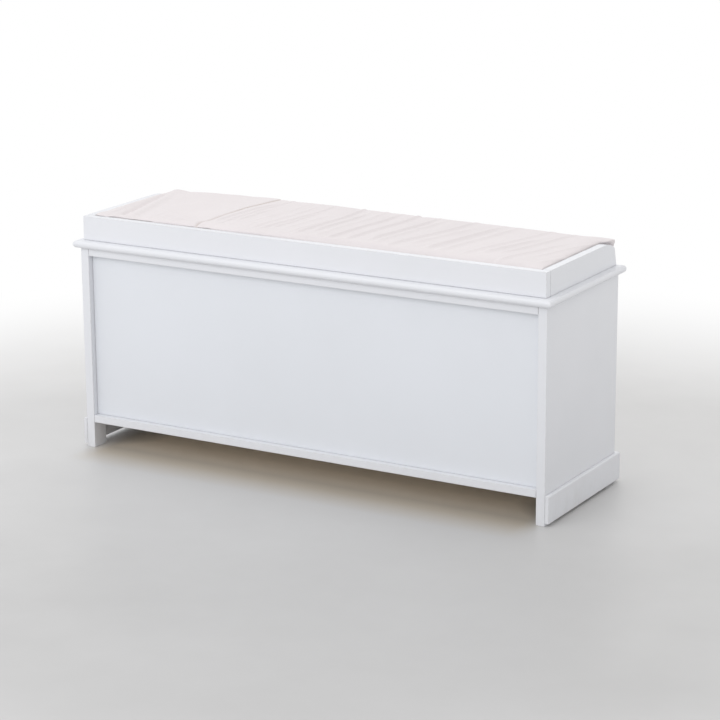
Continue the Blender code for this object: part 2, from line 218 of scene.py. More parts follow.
def build_floor():
    """A pale polished floor with painted shadow tones around the bench, going over into an all-round white
    studio.
    """
    mesh = bpy.data.meshes.new("floor")
    form = bmesh.new()
    bmesh.ops.create_circle(form, cap_ends=True, segments=96, radius=FLOOR_RADIUS)
    form.to_mesh(mesh)
    form.free()
    floor = new_object("floor", mesh)

    g = Graph("pale_floor")
    spot = g.place()
    cloud = g.noise(spot, 2.2, 5.0, 0.6)
    speck = g.noise(spot, 30.0, 4.0, 0.7)
    tone = g.mix(g.remap(cloud, 0.35, 0.68), FLOOR_GREY, FLOOR_SHADE)
    tone = g.mix(g.remap(speck, 0.64, 0.80, 0.0, 0.10), tone, FLOOR_SPECK)
    # Painted shade and painted bounce light: a darker tone along the rear edge, a warm lighter one far in
    # under the bench.
    painted_bounce_share, painted_rear_shade_share = painted_shadow_shares(g, spot)
    tone = g.mix(painted_rear_shade_share, tone, PAINTED_REAR_SHADE_TONE)
    tone = g.mix(painted_bounce_share, tone, PAINTED_BOUNCE_TONE)
    from_centre = g.vector("SUBTRACT", spot, FADE_CENTRE)
    # Painted shade: the floor's tone darkens over the stretch towards the camera.
    nearness = g.measure("DOT_PRODUCT", from_centre, CAMERA_WAY)
    tone = g.scaled(tone, g.remap(nearness, *NEARNESS, FAR_GAIN, NEAR_PAINTED_SHADE))
    surface = g.finish(tone, g.remap(cloud, 0.3, 0.7, 0.34, 0.48), g.bump(speck, 0.04, 0.001))
    reach = g.measure("LENGTH", from_centre)
    white = g.tree.nodes.new("ShaderNodeEmission")
    white.inputs["Strength"].default_value = STUDIO_WHITE
    fade = g.tree.nodes.new("ShaderNodeMixShader")
    g.put(fade, 0, g.add("MapRange", {"Value": reach, "From Min": FLOOR_FADE[0], "From Max": FLOOR_FADE[1]},
                         interpolation_type="SMOOTHSTEP"))
    g.put(fade, 1, g.shader.outputs[0])
    g.put(fade, 2, white.outputs[0])
    g.put(g.tree.nodes["Material Output"], "Surface", fade.outputs[0])
    mesh.materials.append(surface)


def softbox(name, azimuth, elevation, distance, size, power, colour=(1.0, 1.0, 1.0)):
    """A rectangular light that looks at the bench; azimuth 0 stands in front of the drawers."""
    data = bpy.data.lights.new(name, "AREA")
    data.shape = "RECTANGLE"
    data.size, data.size_y = size
    data.energy = power
    data.color = colour
    light = new_object(name, data)
    around = math.radians(azimuth)
    above = math.radians(elevation)
    away = Vector((math.sin(around) * math.cos(above), -math.cos(around) * math.cos(above), math.sin(above)))
    light.location = away * distance
    light.rotation_euler = away.to_track_quat("Z", "Y").to_euler()


def build_light():
    """White studio walls that the camera sees evenly lit, and two soft boxes."""
    world = bpy.data.worlds.new("studio")
    bpy.context.scene.world = world
    world.use_nodes = True
    nodes = world.node_tree.nodes
    links = world.node_tree.links
    sky = nodes["Background"]
    sky.inputs["Color"].default_value = (1.0, 1.0, 1.0, 1.0)
    direction = nodes.new("ShaderNodeTexCoord")
    towards_dim = nodes.new("ShaderNodeVectorMath")
    towards_dim.operation = "DOT_PRODUCT"
    towards_dim.inputs[1].default_value = DIM_SIDE
    dimming = nodes.new("ShaderNodeMapRange")
    dimming.inputs["From Min"].default_value = 0.0
    dimming.inputs["From Max"].default_value = 1.0
    dimming.inputs["To Min"].default_value = STUDIO_WHITE
    dimming.inputs["To Max"].default_value = STUDIO_WHITE * DIM_SHARE
    seen = nodes.new("ShaderNodeLightPath")
    strength = nodes.new("ShaderNodeMix")
    strength.inputs["B"].default_value = STUDIO_WHITE
    links.new(direction.outputs["Generated"], towards_dim.inputs[0])
    links.new(towards_dim.outputs["Value"], dimming.inputs["Value"])
    links.new(seen.outputs["Is Camera Ray"], strength.inputs["Factor"])
    links.new(dimming.outputs["Result"], strength.inputs["A"])
    links.new(strength.outputs["Result"], sky.inputs["Strength"])
    softbox("key", azimuth=168, elevation=38, distance=3.2, size=(1.6, 1.2), power=17,
            colour=(0.93, 0.95, 1.0))
    softbox("front", azimuth=15, elevation=35, distance=3.4, size=(1.8, 1.2), power=5)
    bpy.context.scene.view_settings.view_transform = "Standard"


# ---------------------------------------------------------------- materials
PAINT = (0.80, 0.807, 0.838)
PAINT_SHADE = (0.775, 0.785, 0.815)
PANEL_PAINT = (0.785, 0.805, 0.845)
PANEL_SHADE = (0.765, 0.785, 0.82)
PANEL_STIPPLE = 0.8            # against the boards' stipple
RUBBED = (0.66, 0.655, 0.645)
RUBBED_WIDTH = 2.2 * MM
SCUFF = (0.62, 0.61, 0.60)
SCUFF_HEIGHT = 0.075           # above the floor, where the scuffs end
FOIL = (0.74, 0.74, 0.725)
BASE_FOIL = (0.70, 0.70, 0.68)
BANDING = (0.60, 0.585, 0.56)
BANDING_WIDTH = 1.2 * MM
STEEL = (0.56, 0.57, 0.59)
STEEL_SPANGLE = (0.70, 0.71, 0.72)
STEEL_LINES = (0.48, 0.49, 0.50)
NICKEL = (0.63, 0.61, 0.57)
ECRU = (0.80, 0.752, 0.757)
ECRU_DEEP = (0.70, 0.645, 0.625)
ECRU_TAPE = (0.76, 0.715, 0.685)
ECRU_NYLON = (0.74, 0.70, 0.66)
# Painted shade: the tan line down the crease.
CREASE_PAINTED_SHADE = (0.50, 0.43, 0.36)
WEAVE_SCALE = 420.0            # gives threads 0.75 mm apart
THREAD_BEND = 1.6 * MM         # how far the threads wander from straight


def edge_share(g, spot, low, high, width):
    """1 on the edges of the box low to high, falling to 0 at width from them."""
    middle = (low + high) / 2
    half = (high - low) / 2
    away = g.vector("ABSOLUTE", g.vector("SUBTRACT", spot, tuple(middle)))
    x, y, z = g.split(g.vector("SUBTRACT", tuple(half), away))
    least = g.math("MINIMUM", x, y)
    most = g.math("MAXIMUM", x, y)
    second = g.math("MAXIMUM", least, g.math("MINIMUM", most, z))
    return g.remap(second, 0.0, width, 1.0, 0.0)


def darker(colour, share):
    return tuple(share * part for part in colour)


def lacquer(name, low, high, base=PAINT, shade=PAINT_SHADE, stipple=1.0):
    """White satin lacquer: roller stipple, slow tone changes, thin paint on the edges, scuffed feet."""
    g = Graph(name)
    spot = g.place()
    slow = g.noise(spot, 3.5, 3.0, 0.55)
    fine = g.noise(spot, 42.0, 4.0, 0.65)
    tone = g.mix(g.remap(slow, 0.32, 0.68), base, shade)
    tone = g.mix(g.remap(fine, 0.60, 0.80, 0.0, 0.12), tone, shade)
    edge = g.math("MULTIPLY", edge_share(g, spot, low, high, RUBBED_WIDTH),
                  g.remap(g.noise(spot, 95.0, 4.0, 0.7), 0.46, 0.68, 0.10, 0.62))
    tone = g.mix(edge, tone, RUBBED)
    low_down = g.remap(g.split(spot)[2], 0.0, SCUFF_HEIGHT, 1.0, 0.0)
    dirt = g.math("MULTIPLY", low_down, g.remap(g.noise(g.stretch(spot, (1.0, 1.0, 0.5)), 28.0, 5.0, 0.7),
                                                0.48, 0.75, 0.0, 0.45))
    tone = g.mix(dirt, tone, SCUFF)
    rough = g.remap(g.noise(spot, 18.0, 3.0), 0.3, 0.7, 0.36, 0.47)
    peel = g.noise(spot, 620.0, 2.0, 0.45)
    wave = g.noise(spot, 55.0, 2.0, 0.5)
    normal = g.bump(wave, 0.12, 0.0004)
    normal = g.bump(peel, 0.10 * stipple, 0.00012, normal)
    return g.finish(tone, rough, normal, Specular_IOR_Level=0.45)


def foil(name, low, high, base=FOIL):
    """White foil on chipboard: a fine print texture and slightly darker banded edges."""
    g = Graph(name)
    spot = g.place()
    grain = g.noise(g.stretch(spot, (1.0, 0.05, 1.0)), 160.0, 4.0, 0.6)
    tone = g.mix(g.remap(grain, 0.35, 0.70), base, darker(base, 0.955))
    tone = g.mix(g.remap(g.noise(spot, 5.0, 3.0), 0.4, 0.8, 0.0, 0.25), tone, darker(base, 0.96))
    tone = g.mix(g.math("MULTIPLY", edge_share(g, spot, low, high, BANDING_WIDTH), 0.45), tone, BANDING)
    return g.finish(tone, g.remap(grain, 0.3, 0.7, 0.48, 0.60), g.bump(grain, 0.12, 0.0001))


def rolled_steel(name):
    """Zinc-plated rolled steel: fine lines along the run and pale spangle."""
    g = Graph(name)
    spot = g.place()
    lines = g.noise(g.stretch(spot, (1.0, 0.012, 1.0)), 1500.0, 3.0, 0.6)
    spangle = g.noise(spot, 130.0, 3.0, 0.6)
    tone = g.mix(g.remap(spangle, 0.35, 0.68), STEEL, STEEL_SPANGLE)
    tone = g.mix(g.remap(lines, 0.5, 0.75, 0.0, 0.4), tone, STEEL_LINES)
    return g.finish(tone, g.remap(spangle, 0.3, 0.7, 0.30, 0.44), g.bump(lines, 0.18, 0.00006),
                    Metallic=1.0)


def turned_metal(name, middle):
    """Satin nickel, with the lathe's fine rings round the Y axis through middle."""
    g = Graph(name)
    spot = g.place()
    x, y, z = g.split(g.vector("SUBTRACT", spot, tuple(middle)))
    radius = g.math("SQRT", g.math("ADD", g.math("MULTIPLY", x, x), g.math("MULTIPLY", z, z)))
    ring = g.add("CombineXYZ", {0: radius, 1: y, 2: 0.0})
    rings = g.noise(ring, 2600.0, 3.0, 0.6)
    blush = g.noise(spot, 150.0, 3.0, 0.6)
    tone = g.mix(g.remap(blush, 0.35, 0.7), NICKEL, darker(NICKEL, 0.88))
    tone = g.mix(g.remap(rings, 0.45, 0.75, 0.0, 0.35), tone, darker(NICKEL, 0.8))
    return g.finish(tone, g.remap(blush, 0.3, 0.7, 0.22, 0.34), g.bump(rings, 0.25, 0.00005),
                    Metallic=1.0)


def cotton(name):
    """Ecru plain weave, with slubs, slow colour changes and a tan line of painted shade down the crease."""
    g = Graph(name)
    spot = g.place()
    wander = g.add("TexNoise", {"Vector": spot, "Scale": 30.0, "Detail": 2.0}, output=1)
    thread = g.vector("ADD", spot, g.scaled(wander, THREAD_BEND))
    warp = g.waves(thread, WEAVE_SCALE, "X")
    weft = g.waves(thread, WEAVE_SCALE, "Y")
    band = g.waves(thread, WEAVE_SCALE, "Z")
    weave = g.math("MAXIMUM", g.math("MULTIPLY", warp, weft), g.math("MULTIPLY", band, 0.5))
    slub_x = g.noise(g.stretch(thread, (0.05, 1.0, 1.0)), 480.0, 3.0, 0.6)
    slub_y = g.noise(g.stretch(thread, (1.0, 0.05, 1.0)), 480.0, 3.0, 0.6)
    slubs = g.math("MAXIMUM", g.remap(slub_x, 0.58, 0.80), g.remap(slub_y, 0.58, 0.80))
    slow = g.noise(spot, 7.0, 4.0, 0.6)
    tone = g.mix(g.remap(slow, 0.32, 0.68), ECRU, darker(ECRU, 0.965))
    tone = g.mix(g.math("MULTIPLY", slubs, 0.22), tone, ECRU_DEEP)
    tone = g.mix(g.math("MULTIPLY", g.math("SUBTRACT", 1.0, weave), 0.10), tone, ECRU_DEEP)
    # Painted shade down the crease, from the crease attribute.
    crease = g.add("Attribute", {}, output="Fac", attribute_name="crease")
    tone = g.mix(crease, tone, CREASE_PAINTED_SHADE)
    normal = g.bump(weave, 0.30, 0.00018)
    normal = g.bump(slubs, 0.25, 0.00022, normal)
    return g.finish(tone, g.remap(slow, 0.3, 0.7, 0.86, 0.95), normal,
                    Sheen_Weight=0.18, Sheen_Roughness=0.45, Specular_IOR_Level=0.25)


def plastic(name, base, roughness):
    """Moulded plastic: a fine grit and slow tone changes."""
    g = Graph(name)
    spot = g.place()
    grit = g.noise(spot, 900.0, 3.0, 0.6)
    tone = g.mix(g.remap(g.noise(spot, 60.0, 3.0), 0.3, 0.7), base, darker(base, 0.85))
    return g.finish(tone, g.remap(grit, 0.3, 0.7, roughness - 0.06, roughness + 0.06),
                    g.bump(grit, 0.15, 0.00006))


def woven_tape(name):
    """Twill tape or sewing thread: fine slanted threads."""
    g = Graph(name)
    spot = g.place()
    twill = g.waves(spot, 520.0, "DIAGONAL")
    fuzz = g.noise(spot, 900.0, 3.0, 0.6)
    tone = g.mix(g.remap(twill, 0.1, 0.9), darker(ECRU_TAPE, 0.88), ECRU_TAPE)
    return g.finish(tone, g.remap(fuzz, 0.3, 0.7, 0.78, 0.92), g.bump(twill, 0.3, 0.0001),
                    Sheen_Weight=0.1, Specular_IOR_Level=0.3)


# ---------------------------------------------------------------- boards and metal, from the CAD shapes
def refined(node, material, sharp=40.0):
    """The node's own shape welded into one smooth-shaded surface, in place of the faceted solid."""
    mesh = frame["nodes"][node].data.copy()
    mesh.name = node + "_finished"
    form = bmesh.new()
    form.from_mesh(mesh)
    bmesh.ops.remove_doubles(form, verts=form.verts, dist=0.00001)
    form.to_mesh(mesh)
    form.free()
    if "custom_normal" in mesh.attributes:
        mesh.attributes.remove(mesh.attributes["custom_normal"])
    mesh.shade_smooth()
    mesh.set_sharp_from_angle(angle=math.radians(sharp))
    mesh.materials.clear()
    mesh.materials.append(material)
    piece = new_object(node + "_finished", mesh)
    even = piece.modifiers.new("even_normals", "WEIGHTED_NORMAL")
    even.keep_sharp = True
    even.weight = 90
    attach(piece, BODY_OF[node])
    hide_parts(node)


def finish_boards():
    steel = rolled_steel("zinc_steel_rolled")
    for node, slot in SLOT_OF.items():
        low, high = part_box(node)
        if slot == "painted_wood":
            refined(node, lacquer(node + "_lacquer", low, high))
        elif slot == "painted_panel":
            refined(node, lacquer(node + "_lacquer", low, high, PANEL_PAINT, PANEL_SHADE, PANEL_STIPPLE))
        elif slot == "drawer_box":
            refined(node, foil(node + "_foil", low, high))
        elif slot == "drawer_base":
            refined(node, foil(node + "_foil", low, high, BASE_FOIL))
        elif slot == "zinc_steel":
            refined(node, steel)
        elif slot == "satin_nickel":
            refined(node, turned_metal(node + "_nickel", (low + high) / 2), 30.0)


# ---------------------------------------------------------------- small pieces
HEAD_SIDES = 20
HEAD_PROFILE = ((1.0, 0.0), (1.0, 0.40), (0.93, 0.74), (0.80, 0.94), (0.66, 1.0))  # radius, height
CROSS_ARM = 0.50           # half the recess's span, its half width and its floor, in the same shares
CROSS_HALF_WIDTH = 0.12
CROSS_FLOOR = 0.25
STOP_SIZE = Vector((0.9, 1.2, 9.0)) * MM
STOP_ROUND = 0.3 * MM


def finished_piece(name, form, material, body, sharp=40.0):
    """An object from a bmesh, smooth-shaded, riding on a body and given a material."""
    mesh = bpy.data.meshes.new(name)
    bmesh.ops.recalc_face_normals(form, faces=form.faces)
    form.to_mesh(mesh)
    form.free()
    mesh.shade_smooth()
    mesh.set_sharp_from_angle(angle=math.radians(sharp))
    mesh.materials.append(material)
    piece = new_object(name, mesh)
    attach(piece, body)


def walls_between(form, lower, upper):
    """Faces between two closed loops with the same number of points."""
    for number in range(len(lower)):
        following = (number + 1) % len(lower)
        form.faces.new((lower[number], lower[following], upper[following], upper[number]))


def rounded_block(form, centre, size, radius, segments=3):
    """A box with rounded edges, added to a bmesh."""
    block = bmesh.ops.create_cube(form, size=1.0)["verts"]
    bmesh.ops.scale(form, vec=size, verts=block)
    bmesh.ops.translate(form, vec=centre, verts=block)
    edges = list({edge for vert in block for edge in vert.link_edges})
    bmesh.ops.bevel(form, geom=edges, offset=radius, segments=segments, profile=0.5, affect="EDGES")


def cross_head(form, centre, outward, radius, height):
    """A screw's pan head with a cross recess, standing on centre and facing outward."""
    turn = outward.to_track_quat("Z", "Y").to_matrix()

    def loop(points, level):
        return [form.verts.new(centre + turn @ Vector((x, y, level))) for x, y in points]

    def circle(size):
        angles = [math.tau * step / HEAD_SIDES for step in range(HEAD_SIDES)]
        return [(size * math.cos(angle), size * math.sin(angle)) for angle in angles]

    rings = [loop(circle(radius * share), height * level) for share, level in HEAD_PROFILE]
    for lower, upper in zip(rings, rings[1:]):
        walls_between(form, lower, upper)
    form.faces.new(rings[0])
    arm = CROSS_ARM * radius
    half = CROSS_HALF_WIDTH * radius
    quarter = [(arm, -half), (arm, half), (half, half)]
    cross = [(x * math.cos(a) - y * math.sin(a), x * math.sin(a) + y * math.cos(a))
             for a in (0.0, math.pi / 2, math.pi, 1.5 * math.pi) for x, y in quarter]
    mouth = loop(cross, height)
    floor = loop(cross, CROSS_FLOOR * height)
    walls_between(form, mouth, floor)
    form.faces.new(floor)
    rim_edges = [form.edges.get((a, b)) for a, b in zip(rings[-1], rings[-1][1:] + rings[-1][:1])]
    mouth_edges = [form.edges.get((a, b)) for a, b in zip(mouth, mouth[1:] + mouth[:1])]
    bmesh.ops.triangle_fill(form, use_beauty=True, edges=rim_edges + mouth_edges)


def screw_row(name, spots, outward, radius, height, material, body):
    """Screw heads at the given spots, joined into one piece."""
    form = bmesh.new()
    for spot in spots:
        cross_head(form, Vector(spot), outward, radius, height)
    finished_piece(name, form, material, body, 30.0)


def stop_tab(name, centre, outward, material, body):
    """The steel lip that stops a slide: a thin upright bar with rounded edges, standing on centre."""
    form = bmesh.new()
    rounded_block(form, centre + outward * STOP_SIZE.x / 2, STOP_SIZE, STOP_ROUND)
    finished_piece(name, form, material, body)


# ---------------------------------------------------------------- fittings of the drawers
SCREW_HEAD = 3.4 * MM             # its radius
SCREW_PROUD = 1.1 * MM
FLAT_PROUD = 0.7 * MM
CAM_RADIUS = 7.5 * MM
CAM_PROUD = 0.6 * MM
CAM_SETBACK = 0.034               # from the front end of the box side
CAM_RISE = 0.050                  # of the lower cam above the side's bottom edge
CAM_DROP = 0.042                  # of the upper one below its top edge
BACK_SCREW_RISE = 0.026           # the same for the screws of the box's back
BACK_SCREW_DROP = 0.030
THIN_WEB = 1.0 * MM               # of the drawer's channel and of the middle member
CABINET_WEB = 1.2 * MM
DRAWER_SCREWS = (0.030, 0.098, 0.215)     # from each slide's front end
CABINET_SCREWS = (0.035, 0.130, 0.222)
STOP_SETBACK = 0.006


def face_x(low, high, side):
    """X of a box's face on one side: 1 for the +X face, -1 for the other."""
    return high.x if side > 0 else low.x


def slide_fittings(place, hand, wall_side, steel):
    """Screws and stop of one slide; wall_side is the direction from the drawer to the bay's wall."""
    towards_wall = Vector((wall_side, 0.0, 0.0))
    towards_drawer = -towards_wall
    low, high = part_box(f"{place}_slide_{hand}_drawer")
    web = face_x(low, high, -wall_side) + wall_side * THIN_WEB
    middle_z = (low.z + high.z) / 2
    rows = [low.y + step for step in DRAWER_SCREWS]
    screw_row(f"{place}_slide_{hand}_drawer_screws", [(web, y, middle_z) for y in rows], towards_wall,
              SCREW_HEAD, SCREW_PROUD, steel, f"{place}_drawer")
    low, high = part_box(f"{place}_slide_{hand}_cabinet")
    web = face_x(low, high, wall_side) - wall_side * CABINET_WEB
    rows = [low.y + step for step in CABINET_SCREWS]
    screw_row(f"{place}_slide_{hand}_cabinet_screws", [(web, y, middle_z) for y in rows], towards_drawer,
              SCREW_HEAD, FLAT_PROUD, steel, "carcass")
    low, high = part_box(f"{place}_slide_{hand}_middle")
    web = face_x(low, high, wall_side) - wall_side * THIN_WEB
    stop_tab(f"{place}_slide_{hand}_middle_stop", Vector((web, low.y + STOP_SETBACK, middle_z)),
             towards_drawer, steel, f"{place}_slide_middles")


def box_fittings(place, hand, out_side, steel):
    """Cam locks that draw the front onto one box side, and the screws of the box's back."""
    low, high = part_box(f"{place}_drawer_side_{hand}")
    inside_x = face_x(low, high, -out_side)
    outside_x = face_x(low, high, out_side)
    cam_y = low.y + CAM_SETBACK
    levels = (low.z + CAM_RISE, high.z - CAM_DROP)
    screw_row(f"{place}_drawer_cam_locks_{hand}", [(inside_x, cam_y, z) for z in levels],
              Vector((-out_side, 0.0, 0.0)), CAM_RADIUS, CAM_PROUD, steel, f"{place}_drawer")
    back_low, back_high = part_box(f"{place}_drawer_back")
    middle_y = (back_low.y + back_high.y) / 2
    levels = (back_low.z + BACK_SCREW_RISE, back_high.z - BACK_SCREW_DROP)
    screw_row(f"{place}_drawer_back_screws_{hand}", [(outside_x, middle_y, z) for z in levels],
              Vector((out_side, 0.0, 0.0)), SCREW_HEAD, FLAT_PROUD, steel, f"{place}_drawer")


def fit_drawers():
    steel = rolled_steel("zinc_screw_heads")
    for place in PLACES:
        for hand, side in (("left", -1), ("right", 1)):
            slide_fittings(place, hand, side, steel)
            box_fittings(place, hand, side, steel)


# ---------------------------------------------------------------- cushion
VOXEL = 4.5 * MM
PAD_INSET = Vector((0.8, 3.0, 0.8)) * MM    # the pad starts this much smaller, because it swells
PAD_FRONT_SPREAD = 1.0 * MM                 # but this much past the CAD cushion at the open front
PAD_TOP_DROP = 1.2 * MM                     # its plain top below the rim's top
PAD_ROUND = 6.0 * MM
SEAT_GAP = 0.3 * MM                         # between the cover and the board under it
SWELL_CAP = 4.5 * MM
SWELL_FRAMES = 20
CROWN = 3.6 * MM
CREASE_SWELL = 1.4 * MM                     # what the top rises above its crown beside the crease,
END_SWELL = 2.4 * MM                        # at both ends
REAR_SWELL = 2.8 * MM                       # and along the right part of the rear edge
RIPPLE = 1.1 * MM
FRONT_BULGE = 1.2 * MM
CREASE_X = 0.2462                           # where the crease is straight
REAR_BEND = 4.0 * MM                        # how far it leans right at the rear edge
FRONT_BEND = 32.0 * MM                      # and left at the front edge
CREASE_DEPTH = 2.6 * MM
CREASE_WIDTH = 2.4 * MM
GATHER = 3.0 * MM                           # how near to a crease or seam points are drawn onto it
CORNER_SPREAD = 15.0 * MM                   # of the left front corner, out over the rim's low end
CORNER_START = 0.095                        # in front of the middle, where that corner starts
CORNER_FULL = 0.120                         # and where it lies out fully
BACK_SPREAD = 11.5 * MM                     # of the rear edge's right part, out over the back rim
BACK_SPREAD_RUN = (-0.07, 0.15)             # the x between which it grows
BACK_SPREAD_END = 0.488                     # and where it stops, at the right rim
SQUARENESS = 0.70                           # how far rounded upper edges are filled out
CORNER_SQUARENESS = 0.40                    # and how much further at that corner
EARLY_SPREAD = 0.85                         # the share of both spreads that the pad starts with
RIM_CURVE_RUN = 0.0545                      # the side rims' curve, from their toe
RIM_CURVE_RADIUS = 0.090
RIM_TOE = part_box("rim_left")[0].y
RIM_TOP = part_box("rim_back")[1].z
EDGE_ROUND = 9.0 * MM
COVER_EDGE = RIM_TOP + 1.0 * MM             # the height that the cover's edges are filled out to

FOLDS_FROM_Y = 0.13                         # a fold's x is its place at this y
FOLD_LOW = 0.75                             # the share of the folds that the pad starts with
FOLD_NARROW = 0.60                          # and the share that is added to their middles later
FOLD_END_X = -0.470                         # of the long folds, which start beside the crease
FOLD_RUN = 0.7                              # about the way from the crease to there
SHORT_FOLDS = 9
SHORT_FOLDS_X = 0.282
SHORT_FOLD_PITCH = 11.5 * MM
CREASE_FOLLOW = 0.07                        # folds within about this of the crease bend with it
FOLD_CUT = 3.0                              # half widths from its middle, past which a fold is flat
FOLD_BACK_RUN = 0.030                       # a fold fades out over this way at its rear end
FOLD_BACK_PAST = 0.012                      # and this much of it lies past the end
FOLD_FRONT_RUN = 0.07                       # the same at its front end
FOLD_FRONT_PAST = 0.03
TOP_REACH = 0.022                           # folds and crease reach this far below the cover's top
Fold = namedtuple("Fold", "x lean half_width height back_end front_end")


def smoothstep(value, low, high):
    """0 at low and 1 at high, with a soft start and end; low may be the larger one."""
    t = min(1.0, max(0.0, (value - low) / (high - low)))
    return t * t * (3.0 - 2.0 * t)


def bell(away, reach):
    """1 at no distance, falling softly to about a third at the reach."""
    return math.exp(-(away / reach) ** 2)


def fold_profile(t):
    """Height across a soft fold, t half widths from its middle: a ridge between two shallow valleys."""
    return (1.0 - 1.4 * t * t) * math.exp(-t * t)


def cushion_folds(chance):
    """Folds across the seat.

    The long ones fan outwards to the front, are close together beside the crease and wider further
    along. Past the crease there are short ones at the rear, and a valley between two low ridges.
    """
    folds = []
    x = CREASE_X - 14.0 * MM
    while x > FOLD_END_X:
        along = (CREASE_X - x) / FOLD_RUN
        lean = 0.05 + 0.30 * max(0.0, along - 0.05) + chance.uniform(-0.05, 0.05)
        half_width = chance.uniform(3.8, 6.2) * MM * (1.0 + 0.9 * smoothstep(along, 0.08, 0.45))
        height = chance.uniform(0.8, 2.0) * MM * (1.0 + 0.5 * smoothstep(along, 0.1, 0.5))
        back_end = chance.uniform(0.070, 0.130)
        front_end = chance.uniform(-0.140, -0.045)
        folds.append(Fold(x, lean, half_width, height, back_end, front_end))
        x -= half_width * chance.uniform(2.4, 4.4)
    for number in range(SHORT_FOLDS):
        x = SHORT_FOLDS_X + SHORT_FOLD_PITCH * number + chance.uniform(-2.0, 2.0) * MM
        lean = chance.uniform(-0.3, 0.1)
        half_width = chance.uniform(3.2, 4.6) * MM
        height = chance.uniform(0.6, 1.2) * MM
        front_end = chance.uniform(0.050, 0.090)
        folds.append(Fold(x, lean, half_width, height, FOLDS_FROM_Y, front_end))
    folds.append(Fold(0.430, -0.20, 12.0 * MM, -4.2 * MM, 0.124, -0.120))
    folds.append(Fold(0.406, -0.22, 15.0 * MM, 2.2 * MM, 0.127, -0.060))
    folds.append(Fold(0.458, -0.12, 9.0 * MM, 1.8 * MM, 0.127, 0.000))
    return folds


def crease_line(y):
    """X of the crease: straight in its rear half but for the edge, then bending left to the front."""
    rear_bend = REAR_BEND * smoothstep(y, 0.100, 0.135)
    return CREASE_X + rear_bend - FRONT_BEND * smoothstep(-y, 0.015, 0.160)


def fold_height(folds, x, y, narrow=1.0):
    """Height of all folds together at a point; a narrow above 1 makes each fold that much thinner."""
    total = 0.0
    for fold in folds:
        centre = fold.x - fold.lean * (FOLDS_FROM_Y - y)
        centre += bell(fold.x - CREASE_X, CREASE_FOLLOW) * (crease_line(y) - CREASE_X)
        t = narrow * (x - centre) / fold.half_width
        if abs(t) > FOLD_CUT:
            continue
        share = smoothstep(fold.back_end + FOLD_BACK_PAST - y, 0.0, FOLD_BACK_RUN)
        share *= smoothstep(y - fold.front_end + FOLD_FRONT_PAST, 0.0, FOLD_FRONT_RUN)
        total += fold.height * share * fold_profile(t)
    return total


def tray_top(y):
    """Height of the side rims' curved top edge at y."""
    run = max(0.0, RIM_TOE + RIM_CURVE_RUN - y)
    drop = RIM_CURVE_RADIUS - math.sqrt(max(0.0, RIM_CURVE_RADIUS ** 2 - run * run))
    return RIM_TOP - drop


def corner_share(co):
    """1 on the cushion's left front corner, above the rim's low end, and 0 away from it."""
    if co.x > 0.0 or co.y > -CORNER_START:
        return 0.0
    above = smoothstep(co.z - tray_top(co.y), 0.6 * MM, 3.0 * MM)
    return above * smoothstep(-co.y, CORNER_START, CORNER_FULL)


def back_share(co):
    """1 along the rear top edge's right part, where the slack cover lies out over the back rim."""
    above = smoothstep(co.z - RIM_TOP, 0.2 * MM, 1.4 * MM)
    return above * smoothstep(co.x, *BACK_SPREAD_RUN) * smoothstep(BACK_SPREAD_END - co.x, 0.0, 0.02)


def front_lift(x):
    """How much fuller the front edge stands: most beside the crease, less towards both ends."""
    return (1.6 + 2.2 * smoothstep(x, -0.20, 0.24) - 2.6 * smoothstep(x, 0.32, 0.48)) * MM


def shape_pad(co, low, high, folds):
    """A point of the plain pad, moved for a crowned top with folds and a full front."""
    centre_x = (low.x + high.x) / 2
    half_x = (high.x - low.x) / 2
    upper = smoothstep(co.z, high.z - 0.016, high.z - 0.004)
    across = 1.0 - abs((co.x - centre_x) / half_x) ** 4.0
    rise = CROWN * across * (1.0 - 0.35 * smoothstep(co.y, 0.06, high.y))
    rise += CREASE_SWELL * bell(co.x - CREASE_X + 0.012, 0.03)
    rise += END_SWELL * smoothstep(abs(co.x), high.x - 0.055, high.x - 0.008)
    rise += front_lift(co.x) * smoothstep(-co.y, 0.050, 0.125)
    rise += REAR_SWELL * smoothstep(co.x, -0.10, 0.12) * smoothstep(co.y, high.y - 0.035, high.y - 0.005)
    ripple = RIPPLE * noise.noise(Vector((co.x * 9.0, co.y * 14.0, 3.1)))
    height = FOLD_LOW * fold_height(folds, co.x, co.y)
    middle = 1.0 - ((co.z - (low.z + high.z) / 2) / ((high.z - low.z) / 2)) ** 2
    moved = co.copy()
    moved.z += upper * (rise + ripple + height)
    front = smoothstep(-co.y, -low.y - 0.012, -low.y - 0.002)
    moved.y -= front * (FRONT_BULGE * middle + 0.5 * height)
    edge = smoothstep(abs(co.x), high.x - 0.030, high.x - 0.004)
    moved.x += math.copysign(EARLY_SPREAD * CORNER_SPREAD * edge * corner_share(moved), co.x)
    rear = smoothstep(co.y, high.y - 0.022, high.y - 0.002)
    moved.y += EARLY_SPREAD * BACK_SPREAD * rear * back_share(moved)
    return moved


def voxel_pad(low, high):
    """A plain rounded pad, remeshed into even small faces."""
    mesh = bpy.data.meshes.new("pad")
    form = bmesh.new()
    rounded_block(form, (low + high) / 2, high - low, PAD_ROUND, segments=4)
    form.to_mesh(mesh)
    form.free()
    pad = new_object("pad", mesh)
    remesh = pad.modifiers.new("even_faces", "REMESH")
    remesh.mode = "VOXEL"
    remesh.voxel_size = VOXEL
    return baked(pad, "cushion_cover")


def baked(source, name):
    """A new object with the source's evaluated mesh; the source is removed."""
    bpy.context.view_layer.update()
    evaluated = source.evaluated_get(bpy.context.evaluated_depsgraph_get())
    mesh = bpy.data.meshes.new_from_object(evaluated)
    mesh.name = name
    bpy.data.objects.remove(source, do_unlink=True)
    return new_object(name, mesh)


